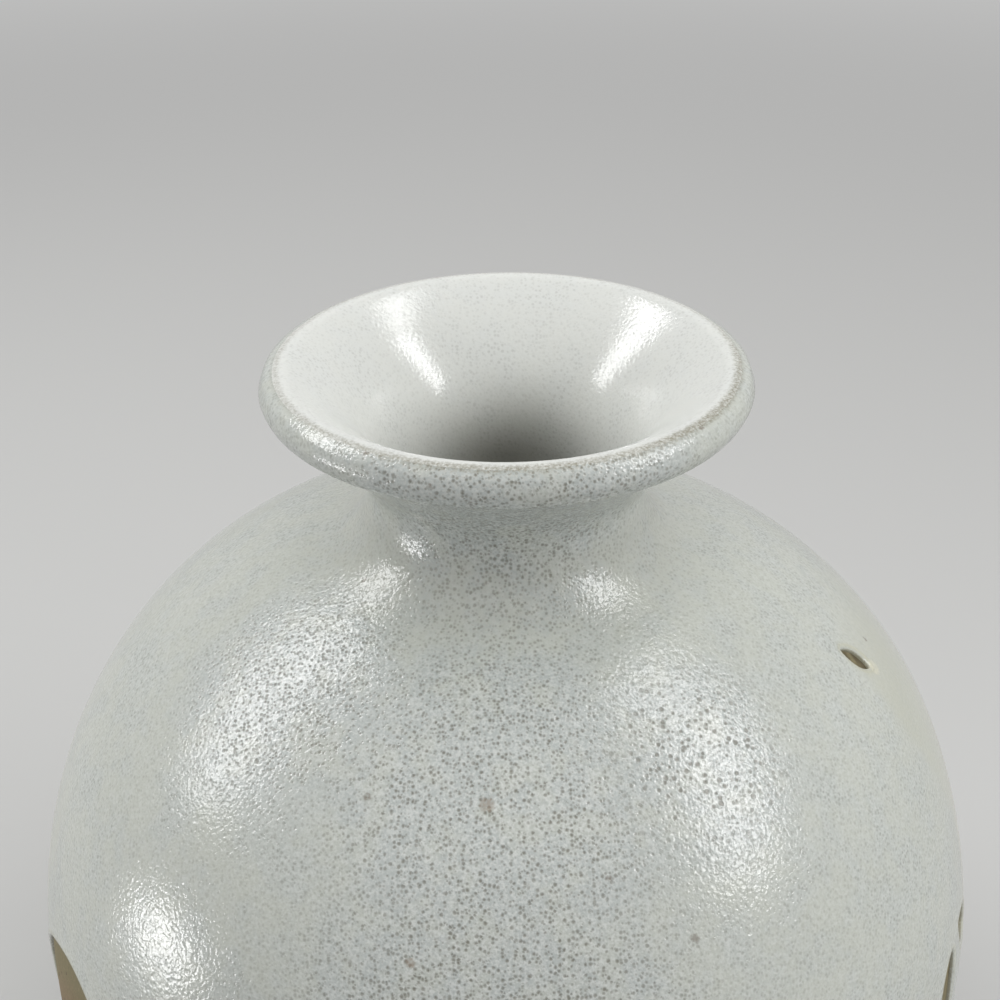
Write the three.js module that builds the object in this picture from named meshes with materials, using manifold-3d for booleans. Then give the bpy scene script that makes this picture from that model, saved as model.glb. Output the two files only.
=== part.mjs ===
// A stoneware vase with a round body, a narrow throat and a wide flared mouth. The body is thrown as
// two bowls joined at the belly, the neck is thrown apart and set into the shoulder, and a foot ring is
// luted underneath. Coils of clay close both seams, and a coat of glaze lies inside and outside.
// Millimetres, +Z up. The origin is on the standing surface, under the centre of the foot.

import * as THREE from 'three';
import { mergeVertices } from 'three/addons/utils/BufferGeometryUtils.js';
import Module from 'manifold-3d';

// Body, measured on the clay
const bellyRadius = 114;
const footHeight = 7;
const bowlRise = 100;
const shoulderRise = 114;
const fullness = 2.35;
const bowlWall = 6;
const floorThickness = 9;

// Neck and mouth, measured on the clay
const waistRadius = 29.9;
const waistRise = 12;
const neckWall = 4.5;
const filletReach = 15.2;
const mouthRadius = 51.8;
const lipThickness = 7.2;
const flareRise = 24.5;
const outerFlareSlope = 0.85;
const innerFlareSlope = 0.577;
const lipUndersideAngle = -105;
const lipInsideAngle = 120;

// Foot ring
const footRadius = 53;
const footWidth = 8;
const footGrooveDepth = 1.5;
const heelLedge = 2;
const footChamfer = 1;

// Glaze
const glazeThickness = 0.9;
const glazeLineRise = 35;
const coatSeamAngle = 70;

// Seams and fits
const bond = 0.05;
const fit = 0.3;
const tongueWidth = 1.8;
const tongueHeight = 2;
const seamCoilDepth = 2;
const seamCoilHalfWidth = 2.5;
const filletRebate = 1.2;
const neckSeatDepth = 2;

// Heights and radii that follow from them
const bellyHeight = footHeight + bowlRise;
const crownHeight = bellyHeight + shoulderRise;
const waistHeight = crownHeight + waistRise;
const floorTop = footHeight + floorThickness;
const glazeLine = footHeight + glazeLineRise;
const throatRadius = waistRadius - neckWall;
const shoulderEnd = waistRadius + filletReach;
const heelRadius = footRadius + heelLedge;
const innerBellyRadius = bellyRadius - bowlWall;
const innerShoulderRise = shoulderRise - bowlWall;
const beadRadius = lipThickness / 2;
const beadCentre = new THREE.Vector2(mouthRadius - beadRadius, waistHeight + flareRise);

// The bowl's curve reaches its foot at the heel, so its full half height is larger than its rise
const bowlHalfHeight = bowlRise / (1 - (heelRadius / bellyRadius) ** fullness) ** (1 / fullness);

// Bare tongues of clay left between the pours of glaze. The azimuth is in degrees from +X and the top is
// the height over the widest line. Each side has its width where its rounded crown ends, the height of
// that crown, and how much it spreads per millimetre further down. Left and right are as seen from
// outside.
const bareTongues = [
  {
    azimuth: -148.5,
    top: 34,
    left: { width: 32, crown: 30, splay: 0.1 },
    right: { width: 26, crown: 28, splay: 0.12 },
  },
  {
    azimuth: -27,
    top: 31,
    left: { width: 9.5, crown: 8, splay: 0.36 },
    right: { width: 2, crown: 3, splay: -0.28 },
  },
  {
    azimuth: 115,
    top: 18,
    left: { width: 26, crown: 34, splay: 0.15 },
    right: { width: 24, crown: 26, splay: 0.2 },
  },
];

// Small spots that the glaze missed, each a pointed oval in the coat, turned in its own plane
const glazeMisses = [
  { azimuth: -14, rise: 89.5, length: 9.8, width: 3.8, turn: 112 },
  { azimuth: -19.3, rise: 26.8, length: 19, width: 9, turn: 138 },
];

// How far each cutter reaches past the coat
const cutMargin = 4;

// Facets
const roundSides = 44;
const lowerBowlSteps = 4;
const heelSteps = 3;
const shoulderSteps = 8;
const filletSteps = 4;
const flareSteps = 5;
const beadSteps = 7;
const innerBeadSteps = 2;
const innerShoulderSteps = 6;
const innerBowlSteps = 6;
const rebateSteps = 3;
const tongueSegments = 8;
const missSegments = 5;

const wasm = await Module();
wasm.setup();

// Lines in the plane of radius and height

function point(radius, height) {
  return new THREE.Vector2(radius, height);
}

// A stretch of the body's curve between two radii, above the widest line or below it. Its angle runs
// from 0 at the widest line to a right angle on the axis.
function bodyCurve(widest, rise, fromRadius, toRadius, steps) {
  const angleAt = (radius) => Math.acos(Math.min(1, radius / widest) ** (fullness / 2));
  const start = angleAt(fromRadius);
  const end = angleAt(toRadius);
  const line = [];
  for (let i = 0; i <= steps; i += 1) {
    const angle = start + (end - start) * i / steps;
    const radius = widest * Math.max(0, Math.cos(angle)) ** (2 / fullness);
    line.push(point(radius, bellyHeight + rise * Math.sin(angle) ** (2 / fullness)));
  }
  return line;
}

// The body's radius at a height over the widest line, or under it where the rise is negative
function bodyRadiusAt(rise) {
  const halfHeight = rise < 0 ? bowlHalfHeight : shoulderRise;
  return bellyRadius * (1 - (Math.abs(rise) / halfHeight) ** fullness) ** (1 / fullness);
}

function shoulderHeightAt(radius) {
  return bellyHeight + shoulderRise * (1 - (radius / bellyRadius) ** fullness) ** (1 / fullness);
}

// The shoulder's slope at a radius, as height over radius
function shoulderSlopeAt(radius) {
  const drop = (shoulderHeightAt(radius) - bellyHeight) / shoulderRise;
  return -(shoulderRise / bellyRadius) * (radius / bellyRadius / drop) ** (fullness - 1);
}

function bend(from, corner, to, steps) {
  return new THREE.QuadraticBezierCurve(from, corner, to).getPoints(steps);
}

function beadPoint(degrees) {
  const angle = THREE.MathUtils.degToRad(degrees);
  return point(beadCentre.x + beadRadius * Math.cos(angle), beadCentre.y + beadRadius * Math.sin(angle));
}

function beadArc(fromDegrees, toDegrees, steps) {
  const line = [];
  for (let i = 0; i <= steps; i += 1) {
    line.push(beadPoint(fromDegrees + (toDegrees - fromDegrees) * i / steps));
  }
  return line;
}

// Runs joined end to end, each shared end kept once
function join(...runs) {
  return runs.flatMap((run, i) => (i === 0 ? run : run.slice(1)));
}

// A line moved sideways, to its left where the distance is positive
function offset(line, distance) {
  return line.map((here, i) => {
    const before = line[Math.max(i - 1, 0)];
    const after = line[Math.min(i + 1, line.length - 1)];
    const along = after.clone().sub(before).normalize();
    return point(Math.max(0, here.x - along.y * distance), here.y + along.x * distance);
  });
}

function reversed(line) {
  return [...line].reverse();
}

// The clay's surfaces, run so that the clay is always on the left: up the outside, over the lip and
// down the inside

const glazeLineRadius = bodyRadiusAt(glazeLine - bellyHeight);
const heel = reversed(bodyCurve(bellyRadius, -bowlHalfHeight, glazeLineRadius, heelRadius, heelSteps));
const bowlSide = reversed(
  bodyCurve(bellyRadius, -bowlHalfHeight, bellyRadius, glazeLineRadius, lowerBowlSteps));
const shoulder = bodyCurve(bellyRadius, shoulderRise, bellyRadius, shoulderEnd, shoulderSteps);

const shoulderEdge = shoulder[shoulder.length - 1];
const waist = point(waistRadius, waistHeight);
const filletCorner = point(waistRadius, shoulderEdge.y - shoulderSlopeAt(shoulderEnd) * filletReach);
const fillet = bend(shoulderEdge, filletCorner, waist, filletSteps);

const lipUnderside = beadPoint(lipUndersideAngle);
const outerFlareCorner = point(
  waistRadius, lipUnderside.y - outerFlareSlope * (lipUnderside.x - waistRadius));
const outerFlare = bend(waist, outerFlareCorner, lipUnderside, flareSteps);
const lipOutside = beadArc(lipUndersideAngle, coatSeamAngle, beadSteps);
const lipInside = beadArc(coatSeamAngle, lipInsideAngle, innerBeadSteps);

const lipEdge = beadPoint(lipInsideAngle);
const throat = point(throatRadius, crownHeight);
const innerFlareCorner = point(throatRadius, lipEdge.y - innerFlareSlope * (lipEdge.x - throatRadius));
const innerFlare = bend(lipEdge, innerFlareCorner, throat, flareSteps);

const innerShoulder = reversed(
  bodyCurve(innerBellyRadius, innerShoulderRise, innerBellyRadius, throatRadius, innerShoulderSteps));
const innerBowl = bodyCurve(
  innerBellyRadius, floorTop - bellyHeight, innerBellyRadius, 0, innerBowlSteps);

const neckSeat = shoulderHeightAt(throatRadius) - filletRebate - neckSeatDepth;
const neckFootRadius = waistRadius - filletRebate;

// Solids

// A closed outline turned round the axis, standing on +Z. The outline has its solid on the left.
function turned(outline) {
  const onAxis = outline[0].x === 0 && outline[outline.length - 1].x === 0;
  const closed = onAxis ? outline : [...outline, outline[0]];
  return new THREE.LatheGeometry(closed, roundSides).rotateX(Math.PI / 2);
}

function solidOf(geometry) {
  const bare = geometry.clone();
  bare.deleteAttribute('normal');
  bare.deleteAttribute('uv');
  const merged = mergeVertices(bare);
  return new wasm.Manifold(new wasm.Mesh({
    numProp: 3,
    vertProperties: merged.attributes.position.array,
    triVerts: Uint32Array.from(merged.index.array),
  }));
}

function geometryOf(solid) {
  const mesh = solid.getMesh();
  const geometry = new THREE.BufferGeometry();
  geometry.setAttribute('position', new THREE.BufferAttribute(mesh.vertProperties, 3));
  geometry.setIndex(new THREE.BufferAttribute(mesh.triVerts, 1));
  geometry.computeVertexNormals();
  return geometry;
}

function piece(name, geometry, material) {
  const mesh = new THREE.Mesh(geometry, material);
  mesh.name = name;
  return mesh;
}

// Clay pieces

// The ring that the vase stands on, set into a groove under the lower bowl
function footRing() {
  const top = footHeight + footGrooveDepth;
  const inner = footRadius - footWidth;
  return turned([
    point(inner + footChamfer, 0),
    point(footRadius - footChamfer, 0),
    point(footRadius, footChamfer),
    point(footRadius, top),
    point(inner, top),
    point(inner, footChamfer),
  ]);
}

const tongueMiddle = (bellyRadius + innerBellyRadius + seamCoilDepth) / 2;
const coilGrooveRadius = innerBellyRadius + seamCoilDepth;

// The lower bowl, from its flat underside to the tongue on its rim
function lowerBowl() {
  const grooveTop = footHeight + footGrooveDepth;
  const grooveInner = footRadius - footWidth - fit;
  const grooveOuter = footRadius + fit;
  const underside = [
    point(0, footHeight),
    point(grooveInner, footHeight),
    point(grooveInner, grooveTop),
    point(grooveOuter, grooveTop),
    point(grooveOuter, footHeight),
  ];
  const rim = [
    point(tongueMiddle + tongueWidth / 2, bellyHeight),
    point(tongueMiddle + tongueWidth / 2, bellyHeight + tongueHeight),
    point(tongueMiddle - tongueWidth / 2, bellyHeight + tongueHeight),
    point(tongueMiddle - tongueWidth / 2, bellyHeight),
    point(coilGrooveRadius, bellyHeight),
    point(innerBellyRadius, bellyHeight - seamCoilHalfWidth),
  ];
  return turned([...underside, ...join(heel, bowlSide), ...rim, ...innerBowl.slice(1)]);
}

// The upper bowl, from the groove in its rim to the rebates round its opening
function upperBowl() {
  const grooveTop = bellyHeight + tongueHeight + fit;
  const seatRadius = neckFootRadius + fit;
  const rebate = [];
  for (let i = 0; i <= rebateSteps; i += 1) {
    const radius = shoulderEnd + (seatRadius - shoulderEnd) * i / rebateSteps;
    rebate.push(point(radius, shoulderHeightAt(radius) - filletRebate));
  }
  const seat = [
    point(seatRadius, neckSeat),
    point(throatRadius, neckSeat),
  ];
  const rim = [
    point(innerBellyRadius, bellyHeight + seamCoilHalfWidth),
    point(coilGrooveRadius, bellyHeight),
    point(tongueMiddle - tongueWidth / 2 - fit, bellyHeight),
    point(tongueMiddle - tongueWidth / 2 - fit, grooveTop),
    point(tongueMiddle + tongueWidth / 2 + fit, grooveTop),
    point(tongueMiddle + tongueWidth / 2 + fit, bellyHeight),
  ];
  return turned([...shoulder, ...rebate, ...seat, ...innerShoulder.slice(0, -1), ...rim]);
}

// The neck with its flared mouth and rounded lip, standing in the rebate of the upper bowl
function neckCollar() {
  return turned([
    point(throatRadius, neckSeat),
    point(neckFootRadius, neckSeat),
    point(neckFootRadius, waistHeight),
    ...join(outerFlare, lipOutside, lipInside, innerFlare),
  ]);
}

// The coil pressed into the groove that the two bowls leave inside at the belly
function bellySeamCoil() {
  const gap = 2 * bond;
  return turned([
    point(coilGrooveRadius - gap, bellyHeight),
    point(innerBellyRadius, bellyHeight + seamCoilHalfWidth - gap),
    point(innerBellyRadius, bellyHeight - seamCoilHalfWidth + gap),
  ]);
}

// The coil that fills the corner between shoulder and neck, smoothed to a hollow curve
function neckFilletCoil() {
  const edgeRadius = shoulderEnd - bond;
  const wallRadius = neckFootRadius + bond;
  const bed = [];
  for (let i = 0; i <= rebateSteps; i += 1) {
    const radius = wallRadius + (edgeRadius - wallRadius) * i / rebateSteps;
    bed.push(point(radius, shoulderHeightAt(radius) - filletRebate + bond));
  }
  const edge = point(edgeRadius, shoulderHeightAt(edgeRadius));
  const top = point(waistRadius, waistHeight - bond);
  return turned([...bed, edge, ...fillet.slice(1, -1), top, point(wallRadius, top.y)]);
}

// Glaze

// The coat inside, from the middle of the floor up to the crest of the lip
function innerGlaze() {
  const clay = join(lipInside, innerFlare, [throat, innerShoulder[0]], innerShoulder, innerBowl);
  return turned([...reversed(offset(clay, -bond)), ...offset(clay, -bond - glazeThickness)]);
}

// Sets a geometry on the body: its x runs round the vase, its y up the surface and its z out of it
function placeOn(geometry, azimuth, tilt, radius, height) {
  const angle = THREE.MathUtils.degToRad(azimuth);
  const outward = new THREE.Vector3(
    Math.cos(angle) * Math.cos(tilt), Math.sin(angle) * Math.cos(tilt), Math.sin(tilt));
  const round = new THREE.Vector3(-Math.sin(angle), Math.cos(angle), 0);
  const upward = outward.clone().cross(round);
  const place = new THREE.Matrix4().makeBasis(round, upward, outward);
  place.setPosition(radius * Math.cos(angle), radius * Math.sin(angle), height);
  return geometry.applyMatrix4(place);
}

// The shape of a bare tongue, from its rounded top down past the lower edge of the glaze
function tongueCutter({ azimuth, top, left, right }) {
  const length = bellyHeight + top - footHeight;
  const spread = (side) => side.width + side.splay * (length - side.crown);
  const shape = new THREE.Shape();
  shape.moveTo(-spread(left), -length);
  shape.lineTo(spread(right), -length);
  shape.lineTo(right.width, -right.crown);
  shape.absellipse(0, -right.crown, right.width, right.crown, 0, Math.PI / 2, false);
  shape.absellipse(0, -left.crown, left.width, left.crown, Math.PI / 2, Math.PI, false);
  const cutter = new THREE.ExtrudeGeometry(
    shape, { depth: bellyRadius + cutMargin, bevelEnabled: false, curveSegments: tongueSegments });
  return solidOf(placeOn(cutter, azimuth, 0, 0, bellyHeight + top));
}

// The shape of a missed spot, square to the surface where it lies
function missCutter({ azimuth, rise, length, width, turn }) {
  const shape = new THREE.Shape();
  shape.moveTo(-length / 2, 0);
  shape.quadraticCurveTo(0, -width, length / 2, 0);
  shape.quadraticCurveTo(0, width, -length / 2, 0);
  const cutter = new THREE.ExtrudeGeometry(
    shape, { depth: 2 * cutMargin, bevelEnabled: false, curveSegments: missSegments });
  cutter.translate(0, 0, -cutMargin);
  cutter.rotateZ(THREE.MathUtils.degToRad(turn));
  const radius = bodyRadiusAt(rise);
  const tilt = Math.atan(-1 / shoulderSlopeAt(radius));
  return solidOf(placeOn(cutter, azimuth, tilt, radius, bellyHeight + rise));
}

// The coat outside, from the crest of the lip down to the glaze line, without its tongues and misses
function outerGlaze() {
  const clay = join(bowlSide, shoulder, fillet, outerFlare, lipOutside);
  const coat = turned([...offset(clay, -bond - glazeThickness), ...reversed(offset(clay, -bond))]);
  const cutters = [...bareTongues.map(tongueCutter), ...glazeMisses.map(missCutter)];
  return geometryOf(cutters.reduce((solid, cutter) => solid.subtract(cutter), solidOf(coat)));
}

// Materials

function material(color, roughness) {
  return new THREE.MeshStandardMaterial({ color, roughness, metalness: 0 });
}

const vase = new THREE.Group();
vase.add(piece('foot_ring', footRing(), material('#86684a', 0.85)));
vase.add(piece('lower_bowl', lowerBowl(), material('#8a7150', 0.85)));
vase.add(piece('upper_bowl', upperBowl(), material('#8a7150', 0.85)));
vase.add(piece('neck_collar', neckCollar(), material('#8a7150', 0.85)));
vase.add(piece('belly_seam_coil', bellySeamCoil(), material('#93795a', 0.9)));
vase.add(piece('neck_fillet_coil', neckFilletCoil(), material('#93795a', 0.9)));
vase.add(piece('inner_glaze', innerGlaze(), material('#cdd2cc', 0.35)));
vase.add(piece('outer_glaze', outerGlaze(), material('#c6cac3', 0.35)));

export default vase;
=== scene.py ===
import math

import bmesh
import bpy
import numpy as np
from mathutils import Matrix, Vector
from mathutils.geometry import delaunay_2d_cdt
from mathutils.kdtree import KDTree


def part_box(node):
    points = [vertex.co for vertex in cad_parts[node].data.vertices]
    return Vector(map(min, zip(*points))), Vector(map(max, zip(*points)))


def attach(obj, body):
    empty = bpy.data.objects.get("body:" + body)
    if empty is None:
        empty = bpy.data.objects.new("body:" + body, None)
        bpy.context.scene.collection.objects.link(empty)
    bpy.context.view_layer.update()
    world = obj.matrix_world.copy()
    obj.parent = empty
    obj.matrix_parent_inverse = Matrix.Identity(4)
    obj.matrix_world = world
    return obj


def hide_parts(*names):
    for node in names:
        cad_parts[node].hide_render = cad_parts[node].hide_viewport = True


# A stoneware vase, dressed over its CAD frame. Metres, +Z up, with the origin under the foot.
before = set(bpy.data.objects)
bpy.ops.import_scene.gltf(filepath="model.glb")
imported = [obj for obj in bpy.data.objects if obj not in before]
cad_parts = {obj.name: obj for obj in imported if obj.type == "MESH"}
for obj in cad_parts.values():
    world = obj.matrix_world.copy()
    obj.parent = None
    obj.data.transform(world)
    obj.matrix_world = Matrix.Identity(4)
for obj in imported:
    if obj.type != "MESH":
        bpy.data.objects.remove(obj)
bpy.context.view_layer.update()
mm = 0.001


# Lower bowl
# The lower half of the body, thrown as a bowl in a dark stoneware that fires brown and is flecked with
# iron. It is turned at the heel, and a tongue on its rim keys into the upper bowl.

belly_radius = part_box("lower_bowl")[1].x
foot_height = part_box("lower_bowl")[0].z
belly_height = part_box("upper_bowl")[0].z
foot_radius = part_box("foot_ring")[1].x
foot_groove_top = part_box("foot_ring")[1].z
fullness = 2.35
bowl_wall = 6 * mm
floor_thickness = 9 * mm
foot_width = 8 * mm
heel_radius = foot_radius + 2 * mm
fit = 0.3 * mm
tongue_width = 1.8 * mm
tongue_height = 2 * mm
seam_coil_depth = 2 * mm
seam_coil_half_width = 2.5 * mm

inner_belly_radius = belly_radius - bowl_wall
floor_top = foot_height + floor_thickness
coil_groove_radius = inner_belly_radius + seam_coil_depth
tongue_middle = (belly_radius + coil_groove_radius) / 2
bowl_rise = belly_height - foot_height
bowl_half_height = bowl_rise / (1 - (heel_radius / belly_radius) ** fullness) ** (1 / fullness)

swell_depth = 0.1 * mm
swell_rows = 110
mouth_tilt = 0.0103
tilt_start = 0.218
tilt_full = 0.242


def body_line(widest, rise, start_radius, end_radius, steps=80):
    """Points (radius, height) along the body's curve, from one radius to another."""
    ends = [math.acos(min(1.0, r / widest) ** (fullness / 2)) for r in (start_radius, end_radius)]
    angle = np.linspace(*ends, steps)
    radius = widest * np.cos(angle).clip(0) ** (2 / fullness)
    height = belly_height + rise * np.sin(angle) ** (2 / fullness)
    return np.stack([radius, height], axis=1)


def spaced(line, spacing):
    """The same line with its points evenly spaced."""
    line = np.asarray(line, dtype=float)
    along = np.append(0, np.cumsum(np.linalg.norm(np.diff(line, axis=0), axis=1)))
    places = np.linspace(0, along[-1], max(2, round(along[-1] / spacing) + 1))
    return np.stack([np.interp(places, along, line[:, k]) for k in range(2)], axis=1)


def settled(points):
    """Points moved as the soft clay moved: faint swells round the body, and a mouth that tips sideways."""
    x, y, z = np.asarray(points, dtype=float).T
    turn = np.arctan2(y, x)
    swell = np.sin(2 * turn + swell_rows * z) + np.sin(3 * turn - swell_rows * z / 2)
    swell += np.sin(5 * turn + swell_rows * z / 3)
    grow = 1 + swell_depth * swell / belly_radius
    share = ((z - tilt_start) / (tilt_full - tilt_start)).clip(0, 1)
    lift = mouth_tilt * x * share ** 2 * (3 - 2 * share)
    return np.stack([x * grow, y * grow, z + lift], axis=1)


def body_object(name, points, faces):
    """A mesh object that rides on the vase, in the settled shape."""
    mesh = bpy.data.meshes.new(name)
    mesh.from_pydata(settled(points).tolist(), [], faces)
    piece = bpy.data.objects.new(name, mesh)
    bpy.context.scene.collection.objects.link(piece)
    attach(piece, "root")
    return piece


def smoothed(piece, sharp_angle=35):
    """Welds the piece's closing seam, faces it outwards and shades it smooth except at its corners."""
    mesh = piece.data
    work = bmesh.new()
    work.from_mesh(mesh)
    bmesh.ops.remove_doubles(work, verts=work.verts, dist=0.005 * mm)
    bmesh.ops.recalc_face_normals(work, faces=work.faces)
    work.to_mesh(mesh)
    work.free()
    mesh.shade_smooth()
    mesh.set_sharp_from_angle(angle=math.radians(sharp_angle))
    return piece


def turned(name, outline, columns=192):
    """A closed outline of radius and height, turned round the axis into a solid."""
    outline = np.asarray(outline, dtype=float)
    rows = len(outline)
    turn = np.linspace(0, 2 * math.pi, columns, endpoint=False)
    x = np.outer(np.cos(turn), outline[:, 0])
    y = np.outer(np.sin(turn), outline[:, 0])
    z = np.broadcast_to(outline[:, 1], x.shape)
    points = np.stack([x, y, z], axis=2).reshape(-1, 3)
    faces = []
    for column in range(columns):
        here = column * rows
        there = (column + 1) % columns * rows
        for row in range(rows):
            after = (row + 1) % rows
            faces.append((here + row, there + row, there + after, here + after))
    return smoothed(body_object(name, points, faces))


class Shade:
    """A socket of a material's nodes. Arithmetic on it adds Math nodes."""

    def __init__(self, tree, socket=None):
        self.tree = tree
        self.socket = socket

    def node(self, kind, settings=None, inputs=None, output=0):
        """Adds a node, with its settings first and then the values or links of its sockets."""
        made = self.tree.nodes.new(kind)
        for name, value in (settings or {}).items():
            setattr(made, name, value)
        for name, value in (inputs or {}).items():
            if isinstance(value, Shade):
                self.tree.links.new(value.socket, made.inputs[name])
            else:
                made.inputs[name].default_value = value
        return Shade(self.tree, made.outputs[output])

    def math(self, operation, first, second=0.0):
        return self.node("ShaderNodeMath", {"operation": operation}, {0: first, 1: second})

    def __add__(self, other):
        return self.math("ADD", self, other)

    def __sub__(self, other):
        return self.math("SUBTRACT", self, other)

    def __rsub__(self, other):
        return self.math("SUBTRACT", other, self)

    def __mul__(self, other):
        return self.math("MULTIPLY", self, other)

    __radd__ = __add__
    __rmul__ = __mul__

    def larger(self, other):
        return self.math("MAXIMUM", self, other)

    def step(self, low, high):
        """0 below low and 1 above high, with a smooth change between them."""
        return self.node(
            "ShaderNodeMapRange",
            {"interpolation_type": "SMOOTHSTEP"},
            {"Value": self, "From Min": low, "From Max": high},
        )

    def mix(self, first, second):
        """The first colour where this mask is 0, and the second where it is 1."""
        colours = {0: self, 6: first, 7: second}
        return self.node("ShaderNodeMix", {"data_type": "RGBA"}, colours, output=2)

    def noise(self, size, detail=2.0, roughness=0.5):
        """Cloudy noise over this place, about 0.5, with swells of about that size."""
        sockets = {"Vector": self, "Scale": 1 / size, "Detail": detail, "Roughness": roughness}
        return self.node("ShaderNodeTexNoise", {}, sockets)

    def stretched(self, x, y, z):
        """This place with its axes scaled."""
        scale = {0: self, 1: (x, y, z)}
        return self.node("ShaderNodeVectorMath", {"operation": "MULTIPLY"}, scale)

    def warped(self, size, reach):
        """This place pushed about by noise, so that round spots on it lose their round edges."""
        push = self.node("ShaderNodeTexNoise", {}, {"Vector": self, "Scale": 1 / size}, output=1)
        centred = self.node(
            "ShaderNodeVectorMath", {"operation": "SUBTRACT"}, {0: push, 1: (0.5, 0.5, 0.5)})
        return self.node(
            "ShaderNodeVectorMath",
            {"operation": "MULTIPLY_ADD"},
            {0: centred, 1: (2 * reach,) * 3, 2: self},
        )

    def spots(self, size, small, large, blur):
        """Round spots, one in each cell of that size, with radii from small to large and soft edges."""
        sockets = {"Vector": self, "Scale": 1 / size}
        near = self.node("ShaderNodeTexVoronoi", {}, sockets) * size
        kind = self.node("ShaderNodeTexVoronoi", {}, sockets, output=1)
        chance = self.node("ShaderNodeSeparateColor", {}, {0: kind})
        radius = chance * (large - small) + small
        return 1 - (near - radius).step(-blur, blur)

    def spot(self, centre, radius):
        """One soft round spot, 1 in its middle."""
        away = self.node(
            "ShaderNodeVectorMath", {"operation": "DISTANCE"}, {0: self, 1: centre}, output=1)
        return 1 - away.step(0.3 * radius, radius)

    def bump(self, strength=1.0):
        """The normal that this height in metres gives the surface."""
        sockets = {"Strength": strength, "Distance": 1.0, "Height": self}
        return self.node("ShaderNodeBump", {}, sockets)


def begin(name):
    """A new material: itself, its main shader's sockets and the place on the object."""
    made = bpy.data.materials.new(name)
    made.use_nodes = True
    tree = made.node_tree
    main = tree.nodes["Principled BSDF"]
    place = Shade(tree).node("ShaderNodeTexCoord", output="Object")
    return made, main, place


def finish_surface(main, color, roughness, normal):
    """Links what changes over a surface into its main shader."""
    for name, value in (("Base Color", color), ("Roughness", roughness), ("Normal", normal)):
        value.tree.links.new(value.socket, main.inputs[name])


def named_value(place, name):
    """A value that is stored on the mesh's points."""
    return place.node("ShaderNodeAttribute", {"attribute_name": name}, output="Fac")


def clay(name, fired, flashed):
    """Bare fired clay: grog, iron flecks, turning lines, and an olive flash along the glaze."""
    made, main, place = begin(name)
    cloud = place.noise(14 * mm, 4)
    grain = place.noise(0.9 * mm, 3, 0.7)
    turning = place.stretched(0.05, 0.05, 1).noise(1.6 * mm, 3, 0.6)
    color = cloud.step(0.35, 0.65).mix(fired, flashed)
    flash = named_value(place, "flash")
    color = (flash * (cloud + 0.6)).step(0.1, 0.9).mix(color, (0.215, 0.187, 0.105, 1))
    color = (grain.step(0.45, 0.75) * 0.5).mix(color, (0.36, 0.29, 0.19, 1))
    flecks = place.warped(1 * mm, 0.2 * mm).spots(2.6 * mm, 0.1 * mm, 0.5 * mm, 0.1 * mm)
    color = (flecks * 0.7).mix(color, (0.035, 0.022, 0.014, 1))
    line = (flash.step(0.9, 1.0)) * 0.75
    color = line.mix(color, (0.06, 0.045, 0.025, 1))
    height = grain * (0.08 * mm) + turning * (0.12 * mm) - flecks * (0.04 * mm)
    finish_surface(main, color, grain * 0.2 + 0.68, height.bump())
    main.inputs["Specular IOR Level"].default_value = 0.35
    return made


clay_body = clay("iron_stoneware", (0.2, 0.145, 0.082, 1), (0.25, 0.185, 0.112, 1))

grooved_underside = [
    (0, foot_height),
    (foot_radius - foot_width - fit, foot_height),
    (foot_radius - foot_width - fit, foot_groove_top),
    (foot_radius + fit, foot_groove_top),
    (foot_radius + fit, foot_height),
]
bowl_side = spaced(
    body_line(belly_radius, -bowl_half_height, heel_radius, belly_radius), 2.2 * mm)
keyed_rim = [
    (tongue_middle + tongue_width / 2, belly_height),
    (tongue_middle + tongue_width / 2, belly_height + tongue_height),
    (tongue_middle - tongue_width / 2, belly_height + tongue_height),
    (tongue_middle - tongue_width / 2, belly_height),
    (coil_groove_radius, belly_height),
    (inner_belly_radius, belly_height - seam_coil_half_width),
]
inner_bowl = spaced(
    body_line(inner_belly_radius, floor_top - belly_height, inner_belly_radius, 0), 4 * mm)
lower_bowl = turned(
    "lower_bowl_clay", [*grooved_underside, *bowl_side, *keyed_rim, *inner_bowl[1:]], 256)
lower_bowl.data.materials.append(clay_body)
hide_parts("lower_bowl")


# Upper bowl
# The upper half of the body, thrown as a second bowl and set on the first one with a groove over the
# tongue. Its opening has a rebate for the neck, and its outside shows bare in the gaps in the glaze.

collar_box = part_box("neck_collar")
waist_radius = 29.9 * mm
waist_height = 233 * mm
throat_radius = 25.4 * mm
shoulder_rise = 114 * mm
shoulder_end = 45.1 * mm
fillet_rebate = 1.2 * mm
neck_seat = collar_box[0].z
neck_foot_radius = waist_radius - fillet_rebate


def shoulder_height(radius):
    share = 1 - (radius / belly_radius) ** fullness
    return belly_height + shoulder_rise * share ** (1 / fullness)


shoulder = spaced(body_line(belly_radius, shoulder_rise, belly_radius, shoulder_end), 2.2 * mm)
rebate_radius = np.linspace(shoulder_end, neck_foot_radius + fit, 8)
rebate = np.stack([rebate_radius, shoulder_height(rebate_radius) - fillet_rebate], axis=1)
inner_shoulder = spaced(
    body_line(inner_belly_radius, shoulder_rise - bowl_wall, throat_radius, inner_belly_radius),
    4 * mm)
grooved_rim = [
    (inner_belly_radius, belly_height + seam_coil_half_width),
    (coil_groove_radius, belly_height),
    (tongue_middle - tongue_width / 2 - fit, belly_height),
    (tongue_middle - tongue_width / 2 - fit, belly_height + tongue_height + fit),
    (tongue_middle + tongue_width / 2 + fit, belly_height + tongue_height + fit),
    (tongue_middle + tongue_width / 2 + fit, belly_height),
]
seat = [(neck_foot_radius + fit, neck_seat), (throat_radius, neck_seat)]
upper_bowl = turned(
    "upper_bowl_clay", [*shoulder, *rebate, *seat, *inner_shoulder[:-1], *grooved_rim], 256)
upper_bowl.data.materials.append(clay_body)
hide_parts("upper_bowl")


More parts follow.
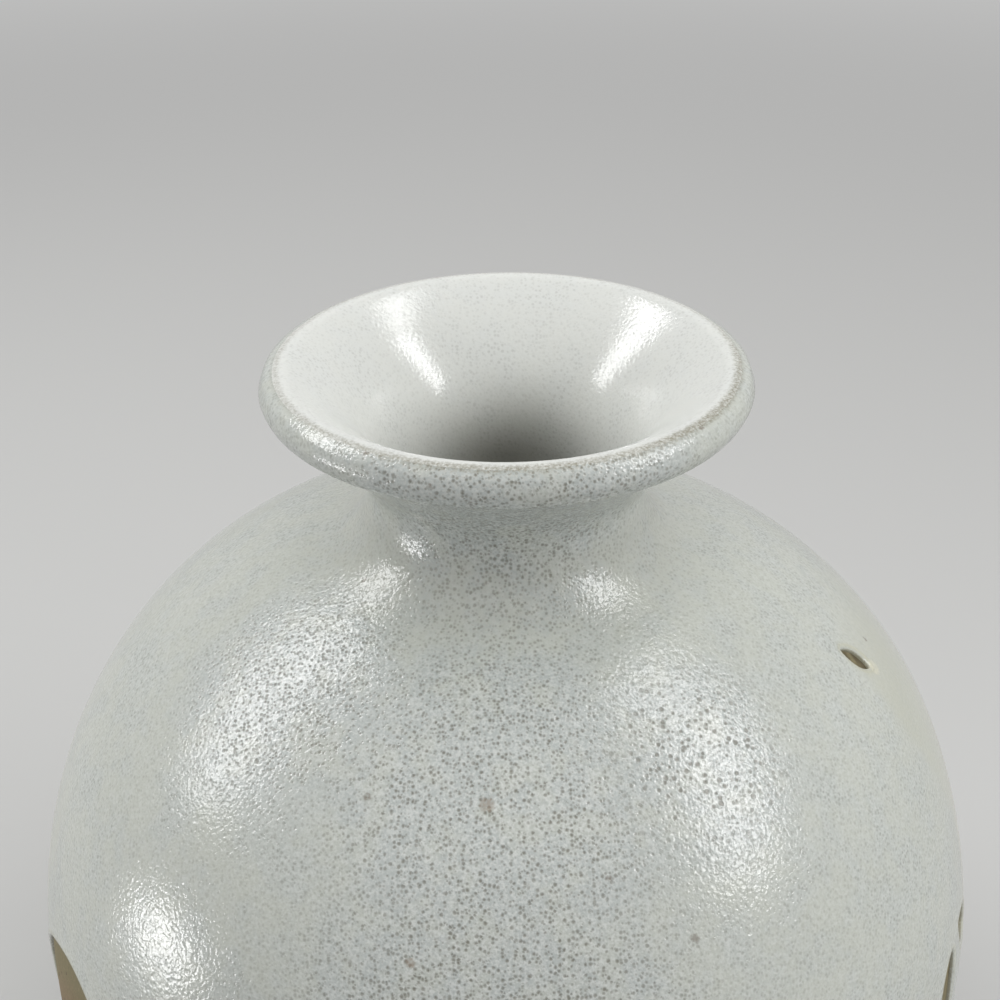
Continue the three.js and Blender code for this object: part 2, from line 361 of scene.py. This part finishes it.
# Belly seam coil
# A soft coil of the same clay, pressed into the groove that the two bowls leave inside at the belly.

bond = 0.05 * mm
seam_clay = clay("seam_clay", (0.29, 0.19, 0.12, 1), (0.34, 0.235, 0.155, 1))
seam_coil = turned("belly_seam_coil_clay", [
    (coil_groove_radius - 2 * bond, belly_height),
    (inner_belly_radius, belly_height + seam_coil_half_width - 2 * bond),
    (inner_belly_radius, belly_height - seam_coil_half_width + 2 * bond),
])
seam_coil.data.materials.append(seam_clay)
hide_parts("belly_seam_coil")


# Neck collar
# The neck, thrown apart as a flared collar with a rolled lip, then set into the rebate of the shoulder.
# The roll has two soft ridges where the thrower's leather strip pressed its outer face.

lip_thickness = 7.2 * mm
lip_radius = lip_thickness / 2
lip_centre = (51.8 * mm - lip_radius, waist_height + 24.5 * mm)
outer_flare_slope = 0.85
inner_flare_slope = 0.577
underside_angle = -105
seam_angle = 70
inside_angle = 120
ridge_angles = (2, 40)
ridge_height = 0.2 * mm
ridge_spread = 10


def bend(start, corner, end, steps=40):
    """A smooth bend that leaves start and reaches end along the lines to the corner."""
    share = np.linspace(0, 1, steps)[:, None]
    start, corner, end = (np.array(p) for p in (start, corner, end))
    return (1 - share) ** 2 * start + 2 * share * (1 - share) * corner + share ** 2 * end


def lip_arc(start_angle, end_angle, steps):
    """The rolled lip's section, with its ridges, between two angles above level."""
    angle = np.linspace(start_angle, end_angle, steps)
    ridges = sum(np.exp(-((angle - ridge) / ridge_spread) ** 2) for ridge in ridge_angles)
    radius = lip_radius + ridge_height * (ridges - 0.5)
    turn = np.radians(angle)
    return np.stack([
        lip_centre[0] + radius * np.cos(turn),
        lip_centre[1] + radius * np.sin(turn),
    ], axis=1)


shoulder_edge = shoulder[-1]
edge_drop = (shoulder_edge[1] - belly_height) / shoulder_rise
edge_slope = shoulder_rise / belly_radius * (shoulder_end / belly_radius / edge_drop) ** (fullness - 1)
waist = (waist_radius, waist_height)
fillet = bend(
    shoulder_edge,
    (waist_radius, shoulder_edge[1] + edge_slope * (shoulder_end - waist_radius)),
    waist)
lip_outside = lip_arc(underside_angle, seam_angle, 48)
lip_inside = lip_arc(seam_angle, inside_angle, 14)
flare_foot = lip_outside[0]
outer_flare = bend(
    waist,
    (waist_radius, flare_foot[1] - outer_flare_slope * (flare_foot[0] - waist_radius)),
    flare_foot)
lip_edge = lip_inside[-1]
throat = (throat_radius, belly_height + shoulder_rise)
inner_flare = bend(
    lip_edge,
    (throat_radius, lip_edge[1] - inner_flare_slope * (lip_edge[0] - throat_radius)),
    throat)
collar = turned("neck_collar_clay", [
    (throat_radius, neck_seat),
    (neck_foot_radius, neck_seat),
    (neck_foot_radius, waist_height),
    *outer_flare[:-1],
    *lip_outside[:-1],
    *lip_inside[:-1],
    *inner_flare,
])
collar.data.materials.append(clay_body)
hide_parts("neck_collar")


# Neck fillet coil
# A coil worked into the corner between shoulder and neck and smoothed to a hollow curve.

bed_radius = np.linspace(neck_foot_radius + bond, shoulder_end - bond, 8)
bed = np.stack([bed_radius, shoulder_height(bed_radius) - fillet_rebate + bond], axis=1)
fillet_coil = turned("neck_fillet_coil_clay", [
    *bed,
    *fillet[1:-1],
    (waist_radius, waist_height - bond),
    (neck_foot_radius + bond, waist_height - bond),
])
fillet_coil.data.materials.append(seam_clay)
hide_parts("neck_fillet_coil")


# Foot ring
# The ring that the vase stands on, luted into the groove under the bowl and worn smooth where it rests.

foot_round = 1.2 * mm
corner_turn = np.radians(np.linspace(-90, 0, 7))
outer_corner = np.stack([
    foot_radius - foot_round + foot_round * np.cos(corner_turn),
    foot_round + foot_round * np.sin(corner_turn),
], axis=1)
inner_corner = outer_corner * (-1, 1) + (2 * foot_radius - foot_width, 0)
foot_ring = turned("foot_ring_clay", [
    *outer_corner,
    (foot_radius, foot_groove_top),
    (foot_radius - foot_width, foot_groove_top),
    *inner_corner[::-1],
])
foot_ring.data.materials.append(clay_body)
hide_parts("foot_ring")


# Inner glaze
# The coat inside, poured in and out again, so it runs from the floor up to the crest of the lip. It is
# a pale satin glaze over iron clay, with the clay's speckle showing faintly.
# Down the throat its colour is darkened with painted shade, where the lip keeps the lamps out.

glaze_thickness = 0.9 * mm
pale_fleck = (0.78, 0.8, 0.77, 1)
iron_speckle = (0.13, 0.118, 0.08, 1)
thin_brown = (0.21, 0.19, 0.12, 1)
pooled_cream = (0.56, 0.55, 0.4, 1)
deep_shade = (0.13, 0.125, 0.1, 1)
glaze_gloss = 1.65
worn_start, worn_full = -65, -45
worn_fade, worn_end = -5, 25
shade_top = 248 * mm
shade_floor = 224 * mm


def offset(line, distance):
    """A line moved sideways, to its left where the distance is positive."""
    along = np.gradient(line, axis=0, edge_order=2)
    along /= np.linalg.norm(along, axis=1)[:, None]
    moved = line + distance * np.stack([-along[:, 1], along[:, 0]], axis=1)
    if moved[-1, 0] <= 0.1 * mm:
        moved[-1, 0] = 0
    return moved


def glaze(name, warm, cool, speckle, relief, speckled=(), coarse_patches=(), iron_spots=()):
    """Satin glaze over iron clay: mottled, speckled, dimpled, brown where it runs thin and as painted
    shade on the lip's front, and darkened as painted shade deep in the throat.
    """
    made, main, place = begin(name)
    grain = place.noise(0.6 * mm, 2, 0.6)
    mottle = place.noise(1.6 * mm, 3, 0.6)
    cloud = place.noise(9 * mm, 3, 0.6)
    busy = cloud.step(0.4, 0.7) * 0.25 + 0.25
    for centre, radius in speckled:
        busy = busy.larger(place.spot(centre, radius))
    calm = named_value(place, "calm")
    busy = busy * (1 - calm * 0.8)
    coarse = mottle.step(0.45, 0.65) * busy * 0.35
    for centre, radius in coarse_patches:
        coarse = coarse.larger(place.spot(centre, radius))
    color = (busy * (cloud.step(0.35, 0.6) + 0.3)).mix(warm, cool)
    pale = (grain + mottle * 0.5).step(0.6, 0.95) * (busy * 0.5 + 0.2)
    color = pale.mix(color, pale_fleck)
    bare = place.warped(0.9 * mm, 0.14 * mm)
    fine = bare.spots(0.82 * mm, 0.08 * mm, 0.38 * mm, 0.23 * mm)
    broad = bare.spots(1.35 * mm, 0.12 * mm, 0.58 * mm, 0.25 * mm) * coarse
    dots = (fine * busy * (1 - coarse * 0.6)).larger(broad)
    color = (dots * speckle).mix(color, iron_speckle)
    # Brown where the glaze runs thin; on the lip's front this brown is partly painted shade.
    thin = named_value(place, "thin")
    brown = (thin * (grain * 1.6 + 0.1)).step(0.2, 0.8) * 0.8
    color = brown.mix(color, thin_brown)
    cream = named_value(place, "cream") * 0.5 + calm * (mottle * 0.5)
    color = cream.mix(color, pooled_cream)
    # Painted shade: the glaze is darkened down the throat, as the deep value on the points says.
    deep = named_value(place, "deep")
    color = deep.mix(color, deep_shade)
    for centre, radius, tint in iron_spots:
        ragged = place.warped(0.8 * mm, 0.8 * mm).spot(centre, radius) * (grain * 1.4)
        color = (ragged.step(0.2, 0.9) * 0.6).mix(color, tint)
    ripples = place.noise(0.9 * mm, 1.5, 0.5) * (1 - calm * 0.5)
    height = (ripples * 0.15 + grain * 0.01 - dots * 0.08) * (relief * mm)
    roughness = dots * 0.2 + brown * 0.15 + 0.14
    finish_surface(main, color, roughness, height.bump())
    main.inputs["IOR"].default_value = glaze_gloss
    return made


inner_glaze_surface = glaze(
    "inner_satin_glaze",
    warm=(0.78, 0.79, 0.75, 1),
    cool=(0.75, 0.765, 0.74, 1),
    speckle=0.4,
    relief=0.4,
)
inside = np.vstack([
    lip_inside[:-1],
    inner_flare[:-1],
    spaced([throat, inner_shoulder[0]], 2 * mm)[:-1],
    inner_shoulder[:-1],
    inner_bowl,
])
inner_coat = turned(
    "inner_glaze_coat", [*offset(inside, -bond)[::-1], *offset(inside, -bond - glaze_thickness)], 256)
inner_coat.data.materials.append(inner_glaze_surface)


def store(piece, name, values):
    """Keeps a value for each of the mesh's points, for its material to read."""
    kept = piece.data.attributes.new(name, "FLOAT", "POINT")
    kept.data.foreach_set("value", np.asarray(values, dtype=np.float32))


def soft_step(value, low, high):
    """0 at low and 1 at high, with a smooth change between them. Low may be the larger one."""
    share = ((value - low) / (high - low)).clip(0, 1)
    return share ** 2 * (3 - 2 * share)


def lip_thinness_and_front_shade(points):
    """How thin the glaze runs over the lip: most along its crest and on the side that wore most, and on
    its face, which is browned more towards the front as painted shade.
    """
    x, y, z = points.T
    radius = np.hypot(x, y).clip(0.1 * mm)
    angle = np.degrees(np.arctan2(z - lip_centre[1], radius - lip_centre[0]))
    turn = np.degrees(np.arctan2(y, x))
    # Painted shade in part: the lip's face is browned more towards the front, which the side lamps light
    # less.
    front = 0.4 + 0.6 * np.clip(-y / radius, 0, 1) ** 2
    worn = 0.18 * soft_step(turn, worn_start, worn_full) * soft_step(turn, worn_end, worn_fade)
    crest = np.exp(-((angle - seam_angle - 8) / 20) ** 2) * (z > lip_centre[1])
    face = soft_step(angle, -60, -10) * soft_step(angle, 120, 60)
    return crest * (0.36 + worn) + 0.32 * front * face


inner_points = np.array([vertex.co for vertex in inner_coat.data.vertices])
inner_radius = np.hypot(inner_points[:, 0], inner_points[:, 1])
inner_crest = (inner_points[:, 2] > lip_centre[1]) * (inner_radius > lip_centre[0] - lip_thickness)
# Painted shade: the glaze darkens lower down the throat and most on its far side, where the lip keeps the
# lamps out.
in_shade = (inner_points[:, 1] / inner_radius.clip(0.1 * mm)).clip(0, 1) ** 3
throat_depth = soft_step(inner_points[:, 2], shade_top, shade_floor)
store(inner_coat, "thin", lip_thinness_and_front_shade(inner_points) * inner_crest)
store(inner_coat, "deep", throat_depth * (0.25 + 0.58 * in_shade))
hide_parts("inner_glaze")


# Outer glaze
# The coat outside, in three pours that run from the crest of the lip down to a wavy line above the foot.
# They leave tongues of bare clay between them and miss two small spots. Where the glaze ends it stands
# proud of the clay with a soft rolled edge.

glaze_line = 42 * mm
closing_turn = math.radians(50)
whole_turn = 2 * math.pi * belly_radius
melted_corner = 9 * mm
bare_tongues = [
    {"turn": 115, "top": 125, "left": (26, 34, 0.15), "right": (24, 26, 0.2)},
    {"turn": -148.5, "top": 141.7, "left": (32, 30, 0.1), "right": (26, 28, 0.12)},
    {"turn": -27, "top": 138.1, "left": (9.5, 8, 0.36), "right": (2, 3, -0.28)},
]
missed_spots = [
    {"turn": -14, "height": 196.4, "length": 9.8, "width": 3.8, "tilt": 112},
    {"turn": -19.3, "height": 133.8, "length": 20, "width": 9, "tilt": 138},
]
edge_reach = np.array([0, 0.06, 0.2, 0.45, 0.8, 1.2, 1.7, 2.4]) * mm
edge_roll = 0.12

coat_line = np.vstack([
    body_line(belly_radius, -bowl_half_height, heel_radius, belly_radius, 300),
    body_line(belly_radius, shoulder_rise, belly_radius, shoulder_end, 300)[1:],
    fillet[1:],
    outer_flare[1:],
    lip_outside[1:],
])
coat_up = np.append(0, np.cumsum(np.linalg.norm(np.diff(coat_line, axis=0), axis=1)))
coat_along = np.gradient(coat_line, axis=0, edge_order=2)
coat_along /= np.linalg.norm(coat_along, axis=1)[:, None]
coat_out = np.stack([coat_along[:, 1], -coat_along[:, 0]], axis=1)
body_rows = np.flatnonzero(coat_line[:, 1] < waist_height)


def up_at(height):
    """How far up the coat a height on the body lies."""
    return np.interp(height, coat_line[body_rows, 1], coat_up[body_rows])


def radius_at(up):
    return np.interp(up, coat_up, coat_line[:, 0])


def on_coat(unrolled, lift=0.0):
    """Points in space from unrolled ones (round the belly, up the coat), lifted off the clay."""
    around, up = np.asarray(unrolled).T
    turn = closing_turn + around / belly_radius
    radius = radius_at(up) + lift * np.interp(up, coat_up, coat_out[:, 0])
    height = np.interp(up, coat_up, coat_line[:, 1]) + lift * np.interp(up, coat_up, coat_out[:, 1])
    return np.stack([radius * np.cos(turn), radius * np.sin(turn), height], axis=1)


def unrolled_at(turn, up):
    """The unrolled place of a turn in degrees, past the closing line."""
    past = (np.radians(turn) - closing_turn) % (2 * math.pi)
    return np.stack(np.broadcast_arrays(past * belly_radius, up), axis=-1)


def tongue_side(top, width, crown, splay):
    """One side of a bare tongue as (across, height), from the glaze line up to its rounded top."""
    foot = width + splay * (top - glaze_line - crown)
    corner = bend(
        (foot + melted_corner, glaze_line),
        (foot, glaze_line),
        (foot - splay * melted_corner, glaze_line + melted_corner))
    quarter = np.radians(np.linspace(0, 90, 30))
    arch = np.stack([width * np.cos(quarter), top - crown + crown * np.sin(quarter)], axis=1)
    return np.vstack([corner, arch])


def tongue_edge(turn, top, left, right):
    """The edge of a bare tongue, unrolled, from the glaze line on its left to that on its right."""
    left_side, right_side = (
        tongue_side(top * mm, width * mm, crown * mm, splay)
        for width, crown, splay in (left, right))
    across, height = np.vstack([left_side * (-1, 1), right_side[::-1]]).T
    up = up_at(height)
    away = np.degrees(np.arcsin(across / radius_at(up)))
    return unrolled_at(turn + away, up)


def missed_edge(turn, height, length, width, tilt):
    """The edge of a missed spot, unrolled: a pointed oval that keeps the glaze on its left."""
    tips = np.array([(-length / 2, 0), (length / 2, 0)]) * mm
    side = np.array([0, width]) * mm
    oval = np.vstack([bend(tips[0], side, tips[1]), bend(tips[1], -side, tips[0])[1:]])
    lean = math.radians(tilt)
    oval = oval @ np.array([[math.cos(lean), math.sin(lean)], [-math.sin(lean), math.cos(lean)]])
    centre = unrolled_at(turn, up_at(height * mm))
    return centre + oval * (belly_radius / radius_at(centre[1]), 1)


def melted(edge, passes):
    """An edge with its sharp turns melted round. Its last point repeats its first."""
    lap = edge[-1] - edge[0]
    for _ in range(passes):
        before = np.vstack([edge[-2] - lap, edge[:-1]])
        after = np.vstack([edge[1:], edge[1] + lap])
        edge = (before + 2 * edge + after) / 4
    return edge


def edge_lines(edge):
    """Lines that follow an edge further and further into the glaze, which lies on its left."""
    lap = edge[-1] - edge[0]
    step = np.vstack([edge[1:], edge[1] + lap]) - np.vstack([edge[-2] - lap, edge[:-1]])
    squeeze = radius_at(edge[:, 1]) / belly_radius
    step[:, 0] *= squeeze
    step /= np.linalg.norm(step, axis=1)[:, None]
    side = np.stack([-step[:, 1] / squeeze, step[:, 0]], axis=1)
    return edge + edge_reach[:, None, None] * side


foot_edge = np.vstack([
    (0, up_at(glaze_line)),
    *[tongue_edge(**tongue) for tongue in bare_tongues],
    (whole_turn, up_at(glaze_line)),
])
foot_edge = spaced(foot_edge, 1.4 * mm)
round_turn = foot_edge[:, 0] / belly_radius
foot_edge[:, 1] += 1.2 * mm * np.sin(4 * round_turn) + 0.7 * mm * np.sin(9 * round_turn)
foot_edge[:, 1] += 0.25 * mm * np.sin(23 * round_turn)
edges = [melted(foot_edge, 4)]
edges += [melted(spaced(missed_edge(**spot), 0.5 * mm), 2) for spot in missed_spots]
edge_sets = [edge_lines(edge) for edge in edges]

lip_up = coat_up[-len(lip_outside)]
neck_up = up_at(shoulder_edge[1])
row_ups = np.concatenate([
    np.arange(up_at(30 * mm), neck_up, 3.2 * mm),
    np.arange(neck_up, lip_up, 1.9 * mm),
    np.linspace(lip_up, coat_up[-1], 28),
])
columns = 224
column_width = whole_turn / columns
inner_lines = [lines[-1] for lines in edge_sets]
side_ups = row_ups[row_ups > inner_lines[0][0, 1] + 1.6 * mm]
left_side = np.stack([np.zeros_like(side_ups), side_ups], axis=1)
top_row = np.stack([np.arange(columns + 1) * column_width, np.full(columns + 1, coat_up[-1])], axis=1)
outer_loop = np.vstack([
    inner_lines[0],
    left_side[:-1] + (whole_turn, 0),
    top_row[::-1],
    left_side[:-1][::-1],
])

near_edges = KDTree(sum(len(line) for line in inner_lines))
for place, (around, up) in enumerate(np.vstack(inner_lines)):
    near_edges.insert((around, up, 0), place)
near_edges.balance()
loose = []
for number, up in enumerate(row_ups[:-1]):
    clear = 1.7 * mm if up < neck_up else 0
    for column in range(1, columns):
        around = (column + 0.5 * (number % 2)) * column_width
        if around < whole_turn - 0.4 * column_width and near_edges.find((around, up, 0))[2] > clear:
            loose.append((around, up))

loops = [outer_loop, *[line[:0:-1] for line in inner_lines[1:]]]
loop_ends = np.cumsum([len(loop) for loop in loops])
loop_faces = [list(range(end - len(loop), end)) for end, loop in zip(loop_ends, loops)]
flat = np.vstack([*loops, loose])
made = delaunay_2d_cdt([Vector(place) for place in flat], [], loop_faces, 0, 1e-7, True)
flat = np.array([tuple(place) for place in made[0]])
inside = [face for face, owners in zip(made[2], made[5]) if owners == [0]]

# Every unrolled point, with how far it lies inside the glaze: the edges' own lines come first
unrolled = []
depth = []
strips = []
count = 0
for lines in edge_sets:
    rows, length = lines.shape[:2]
    strips.append(count + np.arange(rows * length).reshape(rows, length))
    count += rows * length
    unrolled.append(lines.reshape(-1, 2))
    depth.append(np.repeat(edge_reach, length))
used = sorted({corner for face in inside for corner in face})
renumber = {old: count + new for new, old in enumerate(used)}
unrolled = np.vstack([*unrolled, flat[used]])
depth = np.concatenate([*depth, np.full(len(used), edge_reach[-1])])
fill = [tuple(renumber[corner] for corner in face) for face in inside]

front = list(fill)
back = [face[::-1] for face in fill]
for strip in strips:
    for near, far in zip(strip[:-1], strip[1:]):
        front += list(zip(near[:-1], near[1:], far[1:], far[:-1]))
    rim, deep = strip[0], strip[-1]
    back += list(zip(rim[1:], rim[:-1], deep[:-1], deep[1:]))

total = len(unrolled)
hidden = np.arange(total) + total
for strip in strips:
    hidden[strip[0]] = strip[0]
share = (depth / glaze_thickness).clip(0, 1)
rise = np.sqrt(1 - (1 - share) ** 2) + edge_roll * np.sin(math.pi * depth / edge_reach[-1]) ** 2
lift = bond + glaze_thickness * rise
lift[depth == 0] = -bond
points = np.vstack([on_coat(unrolled, lift), on_coat(unrolled, 0.4 * bond)])

crest = [place for place in range(total) if unrolled[place, 1] > coat_up[-1] - 0.001 * mm]
crest.sort(key=lambda place: unrolled[place, 0])
crest_faces = [(b, a, hidden[a], hidden[b]) for a, b in zip(crest, crest[1:])]
faces = front + [tuple(hidden[list(face)]) for face in back] + crest_faces
faces = [tuple(int(corner) for corner in face) for face in faces]
outer_coat = body_object("outer_glaze_coat", points, faces)


def spread_map(mesh):
    """Lays the mesh out flat: its front over most of the square, its hidden back in a thin strip."""
    layout = mesh.uv_layers.new(name="OFBake")
    low_up = unrolled[:, 1].min()
    across = unrolled[:, 0] / whole_turn
    upward = (unrolled[:, 1] - low_up) / (coat_up[-1] - low_up)
    for number, face in enumerate(mesh.polygons):
        for loop in face.loop_indices:
            corner = mesh.loops[loop].vertex_index
            place = corner % total
            if number < len(front):
                height = 0.97 * upward[place]
            elif number < len(front) + len(back):
                height = 0.985 + 0.015 * upward[place]
            else:
                height = 0.975 + 0.005 * (corner >= total)
            layout.data[loop].uv = (across[place], height)


spread_map(outer_coat.data)
coat_height = np.interp(unrolled[:, 1], coat_up, coat_line[:, 1])
neck_thin = 0.36 * soft_step(coat_height, 205 * mm, 220 * mm) * soft_step(coat_height, 240 * mm, 226 * mm)
lip_thin_and_front_shade = lip_thinness_and_front_shade(on_coat(unrolled)) * (unrolled[:, 1] > lip_up)
rim_thin = 1 - (depth / (0.5 * mm)).clip(0, 1)
rim_cream = np.exp(-((depth - 1.1 * mm) / (0.5 * mm)) ** 2)
rim_cream[depth >= edge_reach[-1]] = 0
store(outer_coat, "thin", np.tile(np.maximum.reduce([neck_thin, lip_thin_and_front_shade, rim_thin]), 2))
store(outer_coat, "cream", np.tile(rim_cream, 2))

coat_turn = np.degrees(closing_turn + unrolled[:, 0] / belly_radius)
wander = 1.5 * np.sin(coat_height / (9 * mm))
right_pour = soft_step(coat_turn + wander, 342, 346) * soft_step(coat_turn, 385, 355)
right_pour *= soft_step(coat_height, 205 * mm, 190 * mm)
left_pour = soft_step(coat_turn + wander, 198, 194) * soft_step(coat_turn, 150, 185)
left_pour *= soft_step(coat_height, 180 * mm, 130 * mm)
store(outer_coat, "calm", np.tile(right_pour + left_pour, 2))
smoothed(outer_coat, 50)


def coat_place(turn, height):
    """The place on the coat's surface at a turn in degrees and a height in millimetres."""
    place = unrolled_at(turn, up_at(height * mm))[None]
    return settled(on_coat(place, bond + glaze_thickness))[0]


def lip_place(turn, angle):
    """The place on the coat over the lip at a turn and at an angle above level, both in degrees."""
    reach = lip_radius + bond + glaze_thickness
    radius = lip_centre[0] + reach * math.cos(math.radians(angle))
    height = lip_centre[1] + reach * math.sin(math.radians(angle))
    turn = math.radians(turn)
    return settled([(radius * math.cos(turn), radius * math.sin(turn), height)])[0]


reddish = (0.27, 0.19, 0.12, 1)
dark_iron = (0.16, 0.12, 0.08, 1)
melted_cream = (0.8, 0.77, 0.6, 1)
outer_glaze_surface = glaze(
    "outer_satin_glaze",
    warm=(0.59, 0.61, 0.545, 1),
    cool=(0.53, 0.565, 0.545, 1),
    speckle=0.75,
    relief=1,
    speckled=[
        ((0, -0.045, 0.25), 58 * mm),
        (coat_place(-91, 203), 55 * mm),
        (coat_place(-91, 170), 60 * mm),
        (coat_place(-135, 208), 40 * mm),
        (coat_place(-58, 203), 34 * mm),
        (coat_place(90, 180), 75 * mm),
        (coat_place(90, 110), 60 * mm),
    ],
    coarse_patches=[(coat_place(-58, 203), 30 * mm)],
    iron_spots=[
        (coat_place(-111, 200.4), 1.5 * mm, dark_iron),
        (coat_place(-93, 201.5), 2.6 * mm, reddish),
        (coat_place(-101, 180.4), 1.6 * mm, reddish),
        (coat_place(-68, 181), 1.6 * mm, dark_iron),
        (coat_place(-77, 191.8), 1.2 * mm, dark_iron),
        (coat_place(-144, 218.9), 1.2 * mm, dark_iron),
        (coat_place(-6.2, 194.2), 1.1 * mm, dark_iron),
        (coat_place(-12, 192.6), 3.5 * mm, melted_cream),
        (lip_place(-106, 15), 1.1 * mm, dark_iron),
        (lip_place(-97.5, -20), 0.9 * mm, dark_iron),
        (lip_place(-122.5, 66), 1.2 * mm, dark_iron),
        (lip_place(-41, 66), 1.3 * mm, dark_iron),
    ],
)
outer_coat.data.materials.append(outer_glaze_surface)
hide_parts("outer_glaze")

near_glaze = KDTree(sum(len(edge) for edge in edges))
for number, place in enumerate(settled(on_coat(np.vstack(edges)))):
    near_glaze.insert(place, number)
near_glaze.balance()
flash_reach = 16 * mm
for piece in (lower_bowl, upper_bowl):
    away = [near_glaze.find(vertex.co)[2] for vertex in piece.data.vertices]
    store(piece, "flash", (1 - np.array(away) / flash_reach).clip(0, 1))


# Floor and studio
# A plain pale floor and a pale world, with a tall soft lamp at each side that leans back over the vase.
# Two small lamps add the lesser highlights. A low lamp at the right and two broad sheets only fill in,
# and the glaze doesn't mirror them.

floor_half = 6.0
floor_for_light = (0.34, 0.34, 0.34, 1)
floor_seen = (0.62, 0.62, 0.61, 1)


def shown(shade):
    """1 where a surface is seen, mirrored or seen through, and 0 where it only lights the vase."""
    seen = shade.node("ShaderNodeLightPath", output="Is Camera Ray")
    for ray in ("Is Glossy Ray", "Is Transmission Ray"):
        seen = seen.larger(shade.node("ShaderNodeLightPath", output=ray))
    return seen


floor_mesh = bpy.data.meshes.new("floor")
floor_corners = [(-floor_half, -floor_half, 0), (floor_half, -floor_half, 0),
                 (floor_half, floor_half, 0), (-floor_half, floor_half, 0)]
floor_mesh.from_pydata(floor_corners, [], [(0, 1, 2, 3)])
floor = bpy.data.objects.new("floor", floor_mesh)
bpy.context.scene.collection.objects.link(floor)
floor_surface, floor_main, floor_place = begin("pale_floor")
floor_color = shown(floor_place).mix(floor_for_light, floor_seen)
floor_place.tree.links.new(floor_color.socket, floor_main.inputs["Base Color"])
far = floor_place.node("ShaderNodeVectorMath", {"operation": "LENGTH"}, {0: floor_place}, output=1)
floor_glow = far.step(0.4, 2.4) * shown(floor_place) * 0.4
floor_place.tree.links.new(floor_glow.socket, floor_main.inputs["Emission Color"])
floor_main.inputs["Emission Strength"].default_value = 1
floor_main.inputs["Roughness"].default_value = 0.8
floor_main.inputs["Specular IOR Level"].default_value = 0
floor_mesh.materials.append(floor_surface)

lamp_target = Vector((0, 0, 0.15))
upright = (0, 0, 1)


def lamp(name, turn, rise, away, size, power, lean=upright, mirrored=True):
    """A soft lamp of metres and watts that faces the vase from a turn and a rise in degrees."""
    turn, rise = math.radians(turn), math.radians(rise)
    outward = Vector((math.cos(rise) * math.cos(turn), math.cos(rise) * math.sin(turn), math.sin(rise)))
    across = Vector(lean).cross(outward).normalized()
    light = bpy.data.lights.new(name, "AREA")
    light.shape = "RECTANGLE"
    light.size, light.size_y = size
    light.energy = power
    holder = bpy.data.objects.new(name, light)
    facing = Matrix((across, outward.cross(across), outward)).transposed().to_4x4()
    holder.matrix_world = Matrix.Translation(lamp_target + outward * away) @ facing
    holder.visible_camera = False
    holder.visible_glossy = mirrored
    bpy.context.scene.collection.objects.link(holder)


lamp("left_strip", 163, 42, 1.1, (0.24, 1.05), 5.2, (0.45, 0.65, 0.61))
lamp("right_strip", -15, 40, 1.1, (0.2, 0.85), 4, (-0.23, 0.77, 0.59))
lamp("right_top", 26, 62, 1.1, (0.2, 0.4), 1.2, (-0.57, 0.65, 0.51))
lamp("low_left", -165, -6, 0.7, (0.2, 0.14), 0.75)
lamp("low_right", -42, 5, 1.1, (0.2, 0.4), 1.6, (0.2, 0.61, 0.77), mirrored=False)
lamp("front_sheet", -90, 60, 1.2, (0.8, 0.5), 2.5, mirrored=False)
lamp("back_sheet", 90, 45, 1.2, (0.8, 0.5), 2.2, mirrored=False)

world = bpy.data.worlds.new("studio")
world.use_nodes = True
bpy.context.scene.world = world
surround = world.node_tree.nodes["Background"]
strength = shown(Shade(world.node_tree)) * 0.35 + 0.25
world.node_tree.links.new(strength.socket, surround.inputs["Strength"])
surround.inputs["Color"].default_value = (1, 1, 1, 1)


# Camera
# It looks down on the vase from the front, close to and 30 degrees above level, as in the photo.

camera = bpy.data.cameras.new("camera")
camera.lens = 54
camera.sensor_width = 36
camera_holder = bpy.data.objects.new("camera", camera)
camera_holder.location = (-0.0014, -0.2926, 0.3952)
camera_holder.rotation_euler = (math.radians(90 - 29.94), 0, 0)
bpy.context.scene.collection.objects.link(camera_holder)
bpy.context.scene.camera = camera_holder
bpy.context.scene.view_settings.view_transform = "Standard"
